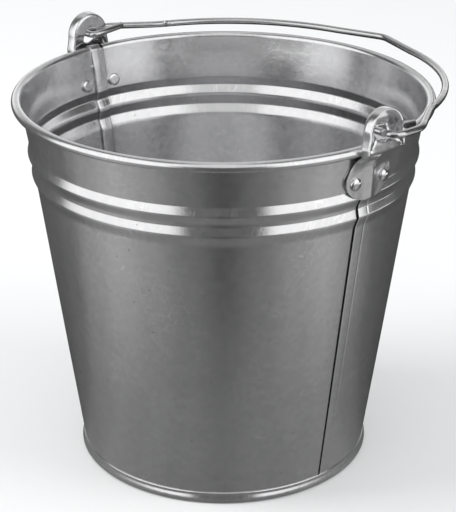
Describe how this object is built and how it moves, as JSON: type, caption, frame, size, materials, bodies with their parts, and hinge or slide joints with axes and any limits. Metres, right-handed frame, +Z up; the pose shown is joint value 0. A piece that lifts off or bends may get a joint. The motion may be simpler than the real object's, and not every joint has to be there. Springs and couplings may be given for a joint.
{
  "type": "florist bucket",
  "caption": "Tapered galvanised steel bucket with a rolled rim, outward stiffening beads, riveted ears and a folding wire bail, for holding cut flowers or water.",
  "frame": {"origin": "middle of the foot ring, on the floor that the bucket stands on", "axes": "+Z up along the bucket's own axis, +X through the right ear along the bail's hinge line, +Y towards the side that the bail lies down on"},
  "size_m": [0.3298, 0.32, 0.2993],
  "materials": {
    "zinc_sheet": "galvanised sheet, fine spangle, satin",
    "zinc_base": "galvanised sheet, satin",
    "bright_zinc": "bright zinc plated pressing",
    "rivet_steel": "bright zinc plated",
    "steel_wire": "galvanised wire, dull to satin"
  },
  "bodies": {
    "bucket": {"wall_front": "zinc_sheet", "wall_rear": "zinc_sheet", "base_pan": "zinc_base", "rim_wire": "steel_wire", "ear_right": "bright_zinc", "ear_left": "bright_zinc", "rivet_right_front": "rivet_steel", "rivet_right_rear": "rivet_steel", "rivet_left_front": "rivet_steel", "rivet_left_rear": "rivet_steel"},
    "bail": {"bail_handle": "steel_wire"}
  },
  "joints": [
    {"name": "bail_hinge", "type": "hinge", "parent": "bucket", "child": "bail", "pos_m": [0, 0, 0.2825], "axis": [1, 0, 0], "range_deg": [0, 181]}
  ]
}
